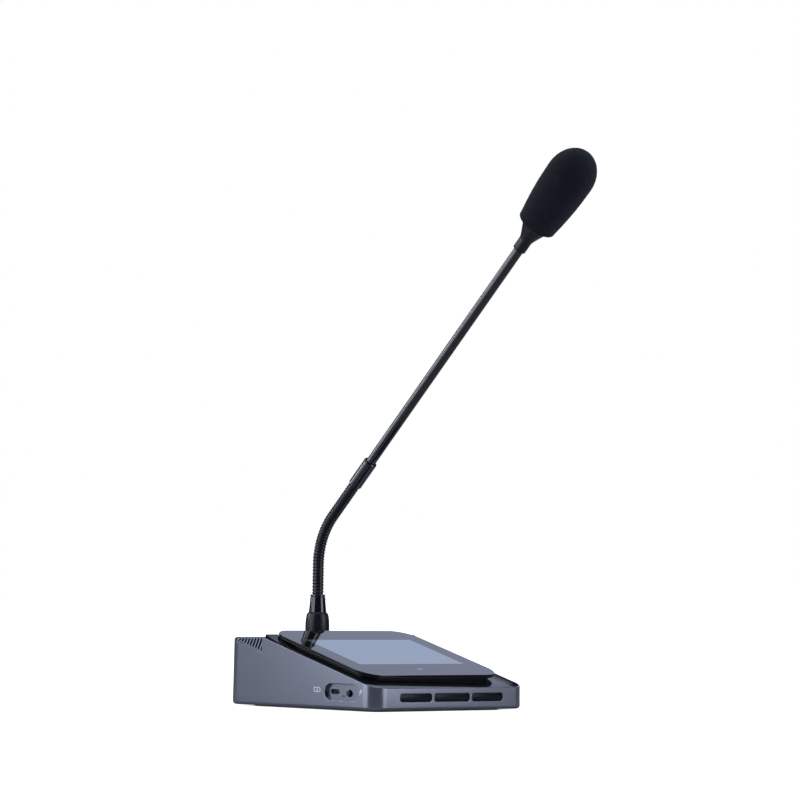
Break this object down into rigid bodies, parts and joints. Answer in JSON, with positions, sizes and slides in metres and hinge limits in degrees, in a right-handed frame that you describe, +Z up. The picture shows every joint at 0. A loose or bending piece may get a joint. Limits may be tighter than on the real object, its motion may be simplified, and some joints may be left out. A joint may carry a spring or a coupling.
{
  "type": "conference microphone",
  "caption": "Wedge desk microphone with a floating touch screen, push keys, side ports, speaker grilles, bendable ribbed neck, straight stem and foam windscreen.",
  "frame": {"origin": "on the desk, at the centre of the anti-slip pad under the middle of the housing", "axes": "+Z up, -Y towards the user, +X to the user's right"},
  "size_m": [0.163, 0.3014, 0.4187],
  "materials": {
    "slate": "satin",
    "gloss": "gloss",
    "black": "matte",
    "glass": "polished",
    "display": "gloss",
    "rubber": "matte",
    "steel": "satin",
    "board": "matte",
    "cone": "matte",
    "brass": "satin",
    "neck": "satin",
    "foam": "matte",
    "battery": "matte",
    "ribbon": "matte"
  },
  "bodies": {
    "base": {"body_shell": "slate", "grille_left": "slate", "grille_right": "slate", "port_panel": "slate", "deck_plate": "gloss", "screen_tray": "black", "switch_left": "black", "switch_middle": "black", "switch_right": "black", "usb_tongue": "black", "jack_socket": "black", "touch_glass": "glass", "display_panel": "display", "antislip_pad": "rubber", "base_plate": "steel", "base_screw_front_left": "steel", "base_screw_front_right": "steel", "base_screw_rear_left": "steel", "base_screw_rear_right": "steel", "speaker_left": "steel", "speaker_right": "steel", "usb_socket": "steel", "main_board": "board", "key_board": "board", "speaker_cone_left": "cone", "speaker_cone_right": "cone", "neck_nut": "brass", "neck_collar": "neck", "neck_ferrule": "neck", "neck_lower": "neck", "battery_pack": "battery", "display_ribbon": "ribbon"},
    "key_left": {"key_left": "black", "switch_stem_left": "rubber"},
    "key_middle": {"key_middle": "black", "switch_stem_middle": "rubber"},
    "key_right": {"key_right": "black", "switch_stem_right": "rubber"},
    "neck_mid": {"neck_upper": "neck"},
    "arm": {"stem_sleeve": "neck", "stem_tube": "neck", "capsule_holder": "black", "mic_capsule": "steel", "windscreen": "foam"}
  },
  "joints": [
    {"name": "left_key_press", "type": "slide", "parent": "base", "child": "key_left", "axis": [0, 1, 0], "range_m": [0, 0.0008], "stiffness_N_per_m": 1500},
    {"name": "middle_key_press", "type": "slide", "parent": "base", "child": "key_middle", "axis": [0, 1, 0], "range_m": [0, 0.0008], "stiffness_N_per_m": 1500},
    {"name": "right_key_press", "type": "slide", "parent": "base", "child": "key_right", "axis": [0, 1, 0], "range_m": [0, 0.0008], "stiffness_N_per_m": 1500},
    {"name": "neck_sway", "type": "hinge", "parent": "base", "child": "neck_mid", "pos_m": [0, 0.0682, 0.0938], "axis": [0, 1, 0], "range_deg": [-20, 20], "deforming": ["neck_lower"]},
    {"name": "neck_bend", "type": "hinge", "parent": "neck_mid", "child": "arm", "pos_m": [0, 0.0578, 0.1417], "axis": [1, 0, 0], "range_deg": [-45, 35], "deforming": ["neck_upper"]}
  ]
}
